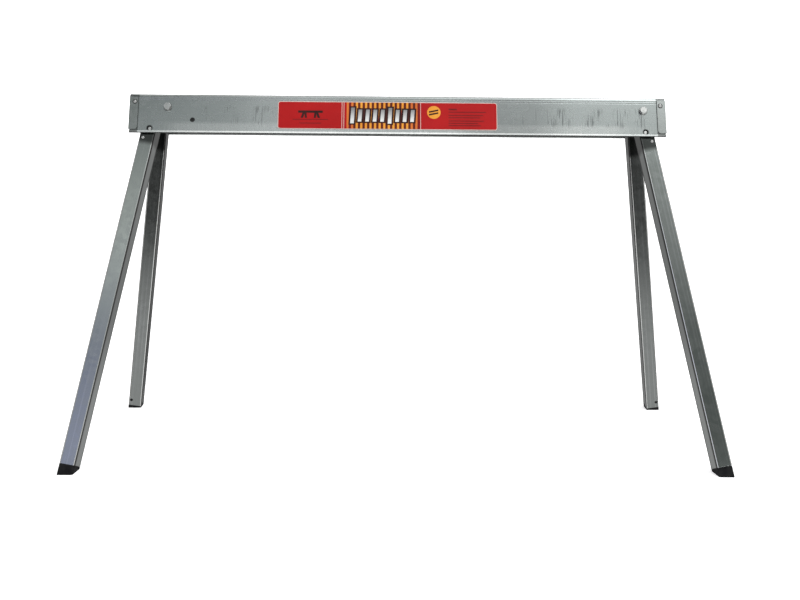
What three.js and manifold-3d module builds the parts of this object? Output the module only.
// Folding steel sawhorse: a pressed channel rail on four rectangular-tube legs.
// The rail's side walls lean outward, and each leg swings in a plane parallel to its wall, so
// the open legs splay both ways. Each leg pivots on a hex bolt, is locked open by a snap
// button behind the wall, and folds up inside the rail. The legs at the left end hang from
// offset clevises, so they fold into a layer just beneath the legs of the right end.
//
// Millimetres, +Z up. The rail runs along X, its labelled wall faces -Y, and the origin is on
// the floor under the middle of the rail.
import * as THREE from 'three';
import { mergeVertices } from 'three/addons/utils/BufferGeometryUtils.js';
import Module from 'manifold-3d';

const wasm = await Module();
wasm.setup();

// ---- Driving dimensions: rail
const RAIL_LENGTH = 1092;
const HEIGHT = 724;
const RAIL_DEPTH = 79;
const TOP_HALF_WIDTH = 47.5;
const BASE_HALF_WIDTH = 75.5;
const SHEET = 1.5;
const BEND_RADIUS = 8;
const HEM = { radius: 2.5, lip: 2.6 };
const GAP = 0.3;

// ---- Driving dimensions: end caps
const CAP_SHEET = 1.5;
const CAP_FLANGE = 17.5;
const CAP_TOP = 6;
const CAP_BOTTOM = 76;
const CAP_CORNER = 6;
const CAP_RIVET = { along: 11, down: 17, head: 3.5, shank: 1.8, tail: 2.8, height: 1.5 };

// ---- Driving dimensions: legs, measured in the plane of the wall
const SPLAY = THREE.MathUtils.degToRad(10);
const TUBE_WIDTH = 30;
const TUBE_THICK = 40;
const TUBE_WALL = 1.5;
const TUBE_CORNER = 3;
const TUBE_INSET = 4.5;
const PIVOT_DOWN = 27.7;
const AXIS_AT = { along: 40, down: 72.5 };
const OFFSET = { left: 29.4, right: -1.6 };
const TUBE_TOP = { left: 11, right: 14 };
const FOOT_HEIGHT = 13.7;
const FOOT_PLUG = 26;
const FOOT_PIN = { aside: 9, up: 14.5, head: 3.5, dome: 1.2, shank: 1.6, length: 8.5 };

// ---- Driving dimensions: pivots and fasteners
const BOLT_RADIUS = 4;
const HEX_FLATS = 13;
const HEX_HEAD = 5.3;
const NUT_HEIGHT = 6.5;
const BOLT_PAST_NUT = 1.5;
const WASHER = { radius: 7.3, thick: 1.6 };
const SPACER = { radius: 11, thick: 2.4 };
const SLEEVE_RADIUS = 6;
const CLEVIS = { sheet: 2, nose: 13, top: 11, bottom: 28, bend: 3, steps: 10 };
const CLEVIS_RIVET = { heights: [-1, -21], head: 4.5, shank: 2.2, tail: 3.8, height: 1.5 };

// ---- Driving dimensions: snap button and its leaf spring
const BUTTON_RADIUS = 4.5;
const BUTTON_INBOARD = 2.5;
const BUTTON_DOME = { height: 1.8, edge: 2 };
const BUTTON_FLANGE = { radius: 6.5, thick: 1.5 };
const BUTTON_TRAVEL = 5;
const BUTTON_BEHIND_WALL = 0.35;
const LOCK_HOLE_RADIUS = 5;
const SPRING = {
  sheet: 0.8,
  width: 22,
  bend: 3,
  rise: THREE.MathUtils.degToRad(35),
  free: 12,
  fixed: 10,
};
const SPRING_RIVET = { aside: 7, down: 20.3, head: 3.4, shank: 1.7, tail: 2.6, height: 1.4 };

// ---- Driving dimensions: label
const LABEL = { x: -22, down: 42.7, width: 446, height: 59, corner: 5, thick: 0.3 };

// ---- Faceting: how many flats stand for a circle
const SIDES = 16;
const SMALL_SIDES = 12;

// ---- Derived values
const SLANT = Math.atan2(BASE_HALF_WIDTH - TOP_HALF_WIDTH, RAIL_DEPTH);
const WALL_DROP = Math.hypot(BASE_HALF_WIDTH - TOP_HALF_WIDTH, RAIL_DEPTH);
const HALF_LENGTH = RAIL_LENGTH / 2;
const RAIL_HALF = HALF_LENGTH - CAP_SHEET - GAP;
const TUBE_BACK = TUBE_INSET + TUBE_THICK;
const TUBE_MIDDLE = TUBE_INSET + TUBE_THICK / 2;
const HOLE_RADIUS = BOLT_RADIUS + GAP;
const HEX_RADIUS = HEX_FLATS / Math.sqrt(3);
const LEG_DROP = Math.cos(SLANT) * Math.cos(SPLAY);
const LOCK_HOLE = {
  along: AXIS_AT.along + BUTTON_INBOARD * Math.cos(SPLAY),
  down: AXIS_AT.down + BUTTON_INBOARD * Math.sin(SPLAY),
};

// ---- Materials
const galvanised = new THREE.MeshStandardMaterial({ color: 0x8e9296, roughness: 0.45, metalness: 0.85 });
const legSteel = new THREE.MeshStandardMaterial({ color: 0x83868b, roughness: 0.5, metalness: 0.8 });
const zinc = new THREE.MeshStandardMaterial({ color: 0xb4b6b8, roughness: 0.35, metalness: 0.95 });
const springSteel = new THREE.MeshStandardMaterial({ color: 0x6c6e72, roughness: 0.3, metalness: 0.95 });
const rubber = new THREE.MeshStandardMaterial({ color: 0x17181a, roughness: 0.8, metalness: 0 });
const nylon = new THREE.MeshStandardMaterial({ color: 0xe4e2da, roughness: 0.55, metalness: 0 });
const labelRed = new THREE.MeshStandardMaterial({ color: 0xc42326, roughness: 0.35, metalness: 0 });

// ---- Solids and meshes
function toSolid(geometry) {
  geometry.deleteAttribute('normal');
  geometry.deleteAttribute('uv');
  const welded = mergeVertices(geometry);
  const vertProperties = Float32Array.from(welded.attributes.position.array);
  const triVerts = Uint32Array.from(welded.index.array);
  return new wasm.Manifold(new wasm.Mesh({ numProp: 3, vertProperties, triVerts }));
}

function toGeometry(solid) {
  const result = solid.getMesh();
  const geometry = new THREE.BufferGeometry();
  geometry.setAttribute('position', new THREE.BufferAttribute(result.vertProperties, 3));
  geometry.setIndex(new THREE.BufferAttribute(result.triVerts, 1));
  geometry.computeVertexNormals();
  return geometry;
}

function mesh(name, shape, material) {
  const geometry = shape.isBufferGeometry ? shape : toGeometry(shape);
  const piece = new THREE.Mesh(geometry, material);
  piece.name = name;
  return piece;
}

// Cuts every tool out of a piece, given as geometries.
function drill(geometry, tools) {
  return tools.reduce((solid, tool) => solid.subtract(toSolid(tool)), toSolid(geometry));
}

// A round rod along Z between two heights, centred on x, y.
function rod(radius, low, high, x = 0, y = 0, sides = SIDES) {
  const geometry = new THREE.CylinderGeometry(radius, radius, high - low, sides);
  return geometry.rotateX(Math.PI / 2).translate(x, y, (low + high) / 2);
}

// A turned piece about Z. The profile is a closed run of [radius, height] points.
function turned(profile, sides = SIDES) {
  const points = profile.map(([radius, height]) => new THREE.Vector2(radius, height));
  return new THREE.LatheGeometry(points, sides).rotateX(Math.PI / 2);
}

function ring(inner, outer, low, high) {
  return turned([[inner, low], [outer, low], [outer, high], [inner, high], [inner, low]]);
}

// Extrudes a shape drawn in a (Y, Z) plane along X, from -length/2 to length/2.
function alongX(shape, length, curveSegments = 3) {
  const options = { depth: length, bevelEnabled: false, curveSegments };
  const geometry = new THREE.ExtrudeGeometry(shape, options);
  const axes = new THREE.Matrix4().makeBasis(
    new THREE.Vector3(0, 1, 0),
    new THREE.Vector3(0, 0, 1),
    new THREE.Vector3(1, 0, 0),
  );
  return geometry.translate(0, 0, -length / 2).applyMatrix4(axes);
}

// Extrudes a shape drawn in an (X, Z) plane down along -Y, from y = top to y = top - length.
function downY(shape, top, length, curveSegments = 2) {
  const options = { depth: length, bevelEnabled: false, curveSegments };
  const geometry = new THREE.ExtrudeGeometry(shape, options);
  return geometry.rotateX(Math.PI / 2).translate(0, top, 0);
}

// Extrudes a shape drawn in the XY plane along Z, between two heights.
function alongZ(shape, low, high, curveSegments = 4) {
  const options = { depth: high - low, bevelEnabled: false, curveSegments };
  const geometry = new THREE.ExtrudeGeometry(shape, options);
  return geometry.translate(0, 0, low);
}

function roundedRect(width, height, radius) {
  const x = width / 2 - radius;
  const y = height / 2 - radius;
  const target = new THREE.Shape();
  target.absarc(x, y, radius, 0, Math.PI / 2);
  target.absarc(-x, y, radius, Math.PI / 2, Math.PI);
  target.absarc(-x, -y, radius, Math.PI, 1.5 * Math.PI);
  target.absarc(x, -y, radius, 1.5 * Math.PI, 2 * Math.PI);
  target.closePath();
  return target;
}

// A bent strip of sheet, drawn edge-on. Each move is a straight run or a bend of a turn (positive
// to the left) about a centreline radius. The strip starts at the origin along a heading.
function bentStrip(heading, moves, thickness, steps = 6) {
  const stations = [{ x: 0, y: 0, heading }];
  for (const { run = 0, turn = 0, radius = 0 } of moves) {
    const count = turn === 0 ? 1 : steps;
    for (let i = 0; i < count; i += 1) {
      const last = stations.at(-1);
      const step = turn / count;
      const chord = turn === 0 ? run : 2 * radius * Math.sin(Math.abs(step) / 2);
      const towards = last.heading + step / 2;
      const x = last.x + chord * Math.cos(towards);
      const y = last.y + chord * Math.sin(towards);
      stations.push({ x, y, heading: last.heading + step });
    }
  }
  const beside = ({ x, y, heading: along }, offset) => (
    new THREE.Vector2(x - offset * Math.sin(along), y + offset * Math.cos(along)));
  const left = stations.map((station) => beside(station, thickness / 2));
  const right = stations.map((station) => beside(station, -thickness / 2)).reverse();
  return { outline: [...left, ...right], stations };
}

function shiftedShape(points, x, y) {
  return new THREE.Shape(points.map((point) => new THREE.Vector2(point.x + x, point.y + y)));
}

// ---- Frames
// A wall's frame: origin in the middle of its upper edge, x along the rail, y up the wall and
// z outward. The rear wall is the front wall turned half a turn about Z.
function wallFrame(side) {
  const turn = new THREE.Matrix4().makeRotationZ(side === 'front' ? 0 : Math.PI);
  const shift = new THREE.Matrix4().makeTranslation(0, -TOP_HALF_WIDTH, HEIGHT);
  const lean = new THREE.Matrix4().makeRotationX(Math.PI / 2 - SLANT);
  return turn.multiply(shift).multiply(lean);
}

// In a wall's frame, inboard is +x at one end of the rail (hand 1) and -x at the other (hand -1).
function handOf(side, end) {
  return (side === 'front') === (end === 'left') ? 1 : -1;
}

function fromEnd(hand, along) {
  return -hand * (HALF_LENGTH - along);
}

// Every tube's centre line crosses its wall's AXIS_AT, level with the snap button, and its pivot
// is offset inboard of that line. This is the distance down the leg from pivot to button.
function buttonReach(offset) {
  return (AXIS_AT.down - PIVOT_DOWN + offset * Math.sin(SPLAY)) / Math.cos(SPLAY);
}

// How far a leg's pivot is from the rail's end.
function pivotAlong(offset) {
  return AXIS_AT.along + buttonReach(offset) * Math.sin(SPLAY) + offset * Math.cos(SPLAY);
}

// Where the button of a folded left leg comes to rest.
function storageHole() {
  return {
    along: pivotAlong(OFFSET.left) + buttonReach(OFFSET.left),
    down: PIVOT_DOWN + OFFSET.left - BUTTON_INBOARD,
  };
}

// Height of a leg's axis above the floor, level with its pivot.
function axisHeight(offset) {
  const pivot = HEIGHT - PIVOT_DOWN * Math.cos(SLANT) - TUBE_MIDDLE * Math.sin(SLANT);
  return pivot + offset * Math.sin(SPLAY) * Math.cos(SLANT);
}

// ---- Rail
// The walls end in hems turned outward, whose free lips stand upright.
function railSection() {
  const lean = Math.PI / 2 - SLANT;
  const setback = BEND_RADIUS * Math.tan(lean / 2);
  const lip = { run: HEM.lip };
  const hem = { turn: Math.PI - SLANT, radius: HEM.radius - SHEET / 2 };
  const wall = { run: WALL_DROP - setback - HEM.radius };
  const bend = { turn: -lean, radius: BEND_RADIUS - SHEET / 2 };
  const top = { run: 2 * (TOP_HALF_WIDTH - setback) };
  const moves = [lip, hem, wall, bend, top, bend, wall, hem, lip];
  const { outline, stations } = bentStrip(-Math.PI / 2, moves, SHEET);
  const middle = stations.at(-1).x / 2;
  const highest = Math.max(...outline.map((point) => point.y));
  return shiftedShape(outline, -middle, HEIGHT - highest);
}

// Cutters through one wall: pivots, lock holes, storage hole and cap rivets.
function wallHoles(side) {
  const cutters = [];
  const punch = (radius, hand, { along, down }) => {
    const cutter = rod(radius, -2 * SHEET, SHEET, fromEnd(hand, along), -down);
    cutters.push(cutter.applyMatrix4(wallFrame(side)));
  };
  for (const end of ['left', 'right']) {
    const hand = handOf(side, end);
    punch(HOLE_RADIUS, hand, { along: pivotAlong(OFFSET[end]), down: PIVOT_DOWN });
    punch(LOCK_HOLE_RADIUS, hand, LOCK_HOLE);
    punch(CAP_RIVET.shank + GAP, hand, CAP_RIVET);
  }
  punch(LOCK_HOLE_RADIUS, handOf(side, 'left'), storageHole());
  return cutters;
}

function railMesh() {
  const channel = alongX(railSection(), 2 * RAIL_HALF);
  return mesh('beam_rail', drill(channel, [...wallHoles('front'), ...wallHoles('rear')]), galvanised);
}

// ---- End caps
function capPlate(facing) {
  const reach = (GAP + CAP_SHEET) / Math.cos(SLANT);
  const topHalf = TOP_HALF_WIDTH + reach;
  const depth = CAP_BOTTOM * Math.cos(SLANT);
  const bottomHalf = topHalf + depth * Math.tan(SLANT);
  const radius = BEND_RADIUS + GAP + CAP_SHEET;
  const setback = radius * Math.tan((Math.PI / 2 - SLANT) / 2);
  const plate = new THREE.Shape();
  plate.moveTo(-bottomHalf, HEIGHT - depth);
  plate.lineTo(bottomHalf, HEIGHT - depth);
  plate.absarc(topHalf - setback, HEIGHT - radius, radius, SLANT, Math.PI / 2);
  plate.absarc(setback - topHalf, HEIGHT - radius, radius, Math.PI / 2, Math.PI - SLANT);
  plate.closePath();
  return alongX(plate, CAP_SHEET).translate(facing * (HALF_LENGTH - CAP_SHEET / 2), 0, 0);
}

function capFlange(side, end) {
  const hand = handOf(side, end);
  const flange = new THREE.Shape();
  const edge = (along, down) => flange.lineTo(fromEnd(hand, along), -down);
  flange.moveTo(fromEnd(hand, 0), -CAP_TOP);
  edge(CAP_FLANGE, CAP_TOP);
  edge(CAP_FLANGE, CAP_BOTTOM - CAP_CORNER);
  const corner = { x: fromEnd(hand, CAP_FLANGE), y: -CAP_BOTTOM };
  flange.quadraticCurveTo(corner.x, corner.y, corner.x - hand * CAP_CORNER, corner.y);
  edge(0, CAP_BOTTOM);
  flange.closePath();
  const holeX = fromEnd(hand, CAP_RIVET.along);
  const hole = rod(CAP_RIVET.shank + GAP, 0, 2 * CAP_SHEET, holeX, -CAP_RIVET.down);
  const plate = alongZ(flange, GAP, GAP + CAP_SHEET);
  return drill(plate.applyMatrix4(wallFrame(side)), [hole.applyMatrix4(wallFrame(side))]);
}

function capMesh(end) {
  const plate = toSolid(capPlate(end === 'left' ? -1 : 1));
  const cap = plate.add(capFlange('front', end)).add(capFlange('rear', end));
  return mesh(`end_cap_${end}`, cap, galvanised);
}

// A domed rivet along Z, set from outside through a grip that ends at z = 0, with its tail
// beyond the far side of the grip. Head, shank and tail are radii.
function rivet({ head, shank, tail, height }, grip) {
  const far = -grip - GAP;
  return turned([
    [0, far - height],
    [tail * 0.8, far - height],
    [tail, far],
    [shank, far],
    [shank, GAP],
    [head, GAP],
    [head * 0.8, GAP + height * 0.7],
    [0, GAP + height],
  ], SMALL_SIDES);
}

function capRivet(side, end) {
  const hand = handOf(side, end);
  const geometry = rivet(CAP_RIVET, SHEET + GAP + CAP_SHEET);
  const piece = mesh(`end_cap_rivet_${side}_${end}`, geometry, zinc);
  piece.position.set(fromEnd(hand, CAP_RIVET.along), -CAP_RIVET.down, GAP + CAP_SHEET);
  return piece;
}

// ---- Label
function labelMesh() {
  const outline = roundedRect(LABEL.width, LABEL.height, LABEL.corner);
  const piece = mesh('front_label', alongZ(outline, GAP, GAP + LABEL.thick), labelRed);
  piece.position.set(LABEL.x, -LABEL.down, 0);
  return piece;
}

// ---- Pivot hardware, fixed to the wall. Every piece is centred on the pivot's axis, along Z.
function pivotBolt(name) {
  const seat = GAP + WASHER.thick + GAP;
  const end = -TUBE_BACK - GAP - NUT_HEIGHT - BOLT_PAST_NUT;
  const blank = HEX_RADIUS * 1.1;
  const head = turned([[0, seat], [blank, seat], [blank, seat + HEX_HEAD * 0.75],
    [HEX_RADIUS * 0.88, seat + HEX_HEAD], [0, seat + HEX_HEAD]]);
  const hexagon = rod(HEX_RADIUS, seat, seat + HEX_HEAD, 0, 0, 6);
  const shank = rod(BOLT_RADIUS, end, seat + 1);
  return mesh(name, toSolid(head).intersect(toSolid(hexagon)).add(toSolid(shank)), zinc);
}

function pivotNut(name) {
  const top = -TUBE_BACK - GAP;
  const hexagon = rod(HEX_RADIUS, top - NUT_HEIGHT, top, 0, 0, 6);
  return mesh(name, drill(hexagon, [rod(HOLE_RADIUS, top - NUT_HEIGHT - 1, top + 1)]), zinc);
}

function pivotWasher(name) {
  return mesh(name, ring(HOLE_RADIUS, WASHER.radius, GAP, GAP + WASHER.thick), zinc);
}

function spacerWasher(name) {
  return mesh(name, ring(HOLE_RADIUS, SPACER.radius, -SHEET - GAP - SPACER.thick, -SHEET - GAP), nylon);
}

// ---- Leg pieces. In a leg's frame the origin is on its pivot's axis at the wall's face, y runs
// up the leg and z outward. The tube's centre line is at x = aside.
function tubeSection(inset) {
  const radius = TUBE_CORNER - Math.min(inset, TUBE_WALL);
  return roundedRect(TUBE_WIDTH - 2 * inset, TUBE_THICK - 2 * inset, radius);
}

function legTube(name, leg) {
  const section = tubeSection(0);
  section.holes.push(tubeSection(TUBE_WALL));
  const tube = downY(section, leg.top, leg.top + leg.length).translate(leg.aside, 0, -TUBE_MIDDLE);
  const face = [-TUBE_INSET - 2 * TUBE_WALL, -TUBE_INSET + TUBE_WALL];
  const back = [-TUBE_BACK - TUBE_WALL, -TUBE_BACK + 2 * TUBE_WALL];
  const cutters = [
    rod(BUTTON_RADIUS + GAP, ...face, leg.buttonX, -leg.button),
    rod(SPRING_RIVET.shank + GAP, ...face, leg.springRivetX, -leg.springRivet),
    rod(FOOT_PIN.shank + GAP, ...back, leg.footPinX, FOOT_PIN.up - leg.length),
  ];
  if (leg.clevis) cutters.push(...CLEVIS_RIVET.heights.map((y) => clevisRivetHole(leg, y)));
  else cutters.push(rod(HOLE_RADIUS, -TUBE_BACK - TUBE_WALL, 0));
  return mesh(name, drill(tube, cutters), legSteel);
}

function pivotSleeve(name, leg) {
  const wall = leg.clevis ? CLEVIS.sheet : TUBE_WALL;
  const back = -TUBE_BACK + wall + GAP;
  const front = -TUBE_INSET - wall - GAP;
  return mesh(name, ring(HOLE_RADIUS, SLEEVE_RADIUS, back, front), nylon);
}

// The button stands on a flange inside the tube, and its domed nose points out through the tube.
function snapButton(name, leg) {
  const nose = -SHEET - BUTTON_BEHIND_WALL;
  const flangeTop = -TUBE_INSET - TUBE_WALL - GAP - BUTTON_TRAVEL;
  const flangeBottom = flangeTop - BUTTON_FLANGE.thick;
  const profile = [
    [0, flangeBottom],
    [BUTTON_FLANGE.radius, flangeBottom],
    [BUTTON_FLANGE.radius, flangeTop],
    [BUTTON_RADIUS, flangeTop],
  ];
  const { height, edge } = BUTTON_DOME;
  const steps = 4;
  for (let i = 0; i < steps; i += 1) {
    const angle = (i / steps) * (Math.PI / 2);
    profile.push([BUTTON_RADIUS - edge * (1 - Math.cos(angle)), nose - height * (1 - Math.sin(angle))]);
  }
  profile.push([0, nose]);
  const piece = mesh(name, turned(profile), zinc);
  piece.position.set(leg.buttonX, -leg.button, 0);
  return piece;
}

// A leaf bent from one strip: its free end lies behind the button, and its fixed end is riveted
// to the tube's outer wall below it.
function leafSpring(name, leg) {
  const { sheet, width, bend, rise, free, fixed } = SPRING;
  const onTube = -TUBE_INSET - TUBE_WALL - GAP - sheet / 2;
  const behindButton = onTube - BUTTON_TRAVEL - BUTTON_FLANGE.thick - GAP;
  const slope = (onTube - behindButton - 2 * bend * (1 - Math.cos(rise))) / Math.sin(rise);
  const moves = [
    { run: free },
    { turn: -rise, radius: bend },
    { run: slope },
    { turn: rise, radius: bend },
    { run: fixed },
  ];
  const { outline } = bentStrip(Math.PI, moves, sheet, 4);
  const strip = alongX(shiftedShape(outline, free / 2 - leg.button, behindButton), width);
  const aside = leg.springRivetX - leg.aside;
  const hole = rod(SPRING_RIVET.shank + GAP, onTube - sheet, onTube + sheet, aside, -leg.springRivet);
  const piece = mesh(name, drill(strip, [hole]), springSteel);
  piece.position.x = leg.aside;
  return piece;
}

function springRivet(name, leg) {
  const piece = mesh(name, rivet(SPRING_RIVET, TUBE_WALL + GAP + SPRING.sheet), zinc);
  piece.position.set(leg.springRivetX, -leg.springRivet, -TUBE_INSET);
  return piece;
}

// A solid rubber foot: a plug inside the tube over a wedge that is cut level with the floor.
function rubberFoot(name, leg, legToWorld) {
  const tip = new THREE.Vector3(leg.aside, -leg.length, -TUBE_MIDDLE).applyMatrix4(legToWorld);
  const plug = downY(tubeSection(TUBE_WALL + GAP), FOOT_PLUG - leg.length, FOOT_PLUG + FOOT_HEIGHT / 3);
  const wedge = downY(tubeSection(0), -leg.length - GAP, FOOT_HEIGHT + TUBE_THICK);
  for (const block of [plug, wedge]) {
    block.translate(leg.aside, 0, -TUBE_MIDDLE);
  }
  const deep = FOOT_PIN.length + GAP - TUBE_BACK;
  const pinY = FOOT_PIN.up - leg.length;
  const pinHole = rod(FOOT_PIN.shank + GAP, -TUBE_BACK - TUBE_WALL, deep, leg.footPinX, pinY);
  const below = 5 * TUBE_THICK;
  const floor = new THREE.BoxGeometry(below, below, below).translate(tip.x, tip.y, -below / 2);
  const block = toSolid(plug.applyMatrix4(legToWorld)).add(toSolid(wedge.applyMatrix4(legToWorld)));
  const drilled = block.subtract(toSolid(pinHole.applyMatrix4(legToWorld)));
  return mesh(name, drilled.subtract(toSolid(floor)), rubber);
}

function footPin(name, leg) {
  const under = -TUBE_BACK - GAP;
  const { head, dome, shank, length } = FOOT_PIN;
  const taper = 1;
  const profile = [
    [0, under - dome],
    [head - taper, under - dome],
    [head, under],
    [shank, under],
    [shank, under + length - taper],
    [shank - taper, under + length],
    [0, under + length],
  ];
  const piece = mesh(name, turned(profile, SMALL_SIDES), rubber);
  piece.position.set(leg.footPinX, FOOT_PIN.up - leg.length, 0);
  return piece;
}

// ---- Offset clevis of a left leg: a strip bent to a U, its web riveted to the inboard side of
// the tube, its two cheeks carrying the pivot.
function clevisWeb(leg) {
  return leg.aside - leg.outboard * (TUBE_WIDTH / 2 + GAP);
}

// The cheeks' side view: square against the web, round about the pivot.
function clevisProfile(leg) {
  const web = Math.abs(clevisWeb(leg)) + CLEVIS.sheet;
  const corner = Math.atan2(CLEVIS.bottom, web);
  const tangent = corner + Math.acos(CLEVIS.nose / Math.hypot(web, CLEVIS.bottom));
  const outline = new THREE.Path();
  outline.moveTo(web, -CLEVIS.bottom);
  outline.lineTo(web, CLEVIS.top);
  outline.absarc(0, 0, CLEVIS.nose, Math.PI / 2, 2 * Math.PI - tangent, false);
  const points = outline.getPoints(CLEVIS.steps);
  return new THREE.Shape(points.map(({ x, y }) => new THREE.Vector2(leg.outboard * x, y)));
}

// The U strip, seen along the leg, with its web towards the tube.
function clevisStrip(leg) {
  const { sheet, bend, top, bottom } = CLEVIS;
  const cheek = Math.abs(clevisWeb(leg)) + CLEVIS.nose - bend;
  const corner = { turn: leg.outboard * (Math.PI / 2), radius: bend };
  const web = { run: TUBE_THICK - sheet - 2 * bend };
  const moves = [{ run: cheek }, corner, web, corner, { run: cheek }];
  const { outline } = bentStrip(leg.outboard < 0 ? Math.PI : 0, moves, sheet, 5);
  const face = leg.outboard * Math.max(...outline.map((point) => leg.outboard * point.x));
  const low = Math.min(...outline.map((point) => point.y));
  const section = shiftedShape(outline, clevisWeb(leg) - face, -TUBE_BACK - low);
  return downY(section, top + sheet, top + bottom + 2 * sheet);
}

function clevisMesh(name, leg) {
  const sideView = alongZ(clevisProfile(leg), -TUBE_BACK - CLEVIS.sheet, 0);
  const blank = toSolid(clevisStrip(leg)).intersect(toSolid(sideView));
  const rivetHoles = CLEVIS_RIVET.heights.map((y) => clevisRivetHole(leg, y));
  const holes = [rod(HOLE_RADIUS, -TUBE_BACK - CLEVIS.sheet, 0), ...rivetHoles];
  return mesh(name, holes.reduce((solid, hole) => solid.subtract(toSolid(hole)), blank), galvanised);
}

function clevisRivetHole(leg, y) {
  const reach = 2 * (CLEVIS.sheet + TUBE_WALL);
  const hole = rod(CLEVIS_RIVET.shank + GAP, -reach, reach).rotateY(Math.PI / 2);
  return hole.translate(clevisWeb(leg), y, -TUBE_MIDDLE);
}

function clevisRivet(name, leg, y) {
  const piece = mesh(name, rivet(CLEVIS_RIVET, CLEVIS.sheet + GAP + TUBE_WALL), zinc);
  piece.rotation.y = -leg.outboard * Math.PI / 2;
  piece.position.set(clevisWeb(leg) - leg.outboard * CLEVIS.sheet, y, -TUBE_MIDDLE);
  return piece;
}

// ---- A whole corner: pivot hardware on the wall, and the leg in its own turned frame
function legPlan(side, end) {
  const hand = handOf(side, end);
  const offset = OFFSET[end];
  const button = buttonReach(offset);
  const aside = -hand * offset;
  return {
    hand,
    button,
    aside,
    outboard: -hand,
    clevis: end === 'left',
    top: TUBE_TOP[end],
    length: axisHeight(offset) / LEG_DROP - FOOT_HEIGHT,
    buttonX: aside + hand * BUTTON_INBOARD,
    springRivet: button + SPRING_RIVET.down,
    springRivetX: aside - hand * SPRING_RIVET.aside,
    footPinX: aside - hand * FOOT_PIN.aside,
    pivot: new THREE.Vector3(fromEnd(hand, pivotAlong(offset)), -PIVOT_DOWN, 0),
  };
}

function pivotHardware(corner, pivot) {
  const group = new THREE.Group();
  group.position.copy(pivot);
  group.add(
    pivotBolt(`pivot_bolt_${corner}`),
    pivotNut(`pivot_nut_${corner}`),
    pivotWasher(`pivot_washer_${corner}`),
    spacerWasher(`spacer_washer_${corner}`),
  );
  return group;
}

function legGroup(side, corner, leg) {
  const group = new THREE.Group();
  group.position.copy(leg.pivot);
  group.rotation.z = -leg.hand * SPLAY;
  group.add(
    legTube(`leg_tube_${corner}`, leg),
    pivotSleeve(`pivot_sleeve_${corner}`, leg),
    snapButton(`snap_button_${corner}`, leg),
    leafSpring(`button_spring_${corner}`, leg),
    springRivet(`spring_rivet_${corner}`, leg),
    footPin(`foot_pin_${corner}`, leg),
  );
  if (leg.clevis) {
    group.add(clevisMesh(`offset_clevis_${corner}`, leg));
    CLEVIS_RIVET.heights.forEach((y, i) => {
      group.add(clevisRivet(`clevis_rivet_${i + 1}_${corner}`, leg, y));
    });
  }
  return group;
}

function wallGroup(side) {
  const group = new THREE.Group();
  group.applyMatrix4(wallFrame(side));
  for (const end of ['left', 'right']) {
    const corner = `${side}_${end}`;
    const leg = legPlan(side, end);
    group.add(pivotHardware(corner, leg.pivot), legGroup(side, corner, leg), capRivet(side, end));
  }
  if (side === 'front') group.add(labelMesh());
  return group;
}

// The feet are cut by the floor, so they are shaped in the sawhorse's own frame.
function footMeshes() {
  const feet = [];
  for (const side of ['front', 'rear']) {
    for (const end of ['left', 'right']) {
      const leg = legPlan(side, end);
      const legToWorld = wallFrame(side)
        .multiply(new THREE.Matrix4().makeTranslation(leg.pivot.x, leg.pivot.y, 0))
        .multiply(new THREE.Matrix4().makeRotationZ(-leg.hand * SPLAY));
      feet.push(rubberFoot(`rubber_foot_${side}_${end}`, leg, legToWorld));
    }
  }
  return feet;
}

const sawhorse = new THREE.Group();
sawhorse.add(railMesh(), capMesh('left'), capMesh('right'), wallGroup('front'), wallGroup('rear'));
sawhorse.add(...footMeshes());

export default sawhorse;
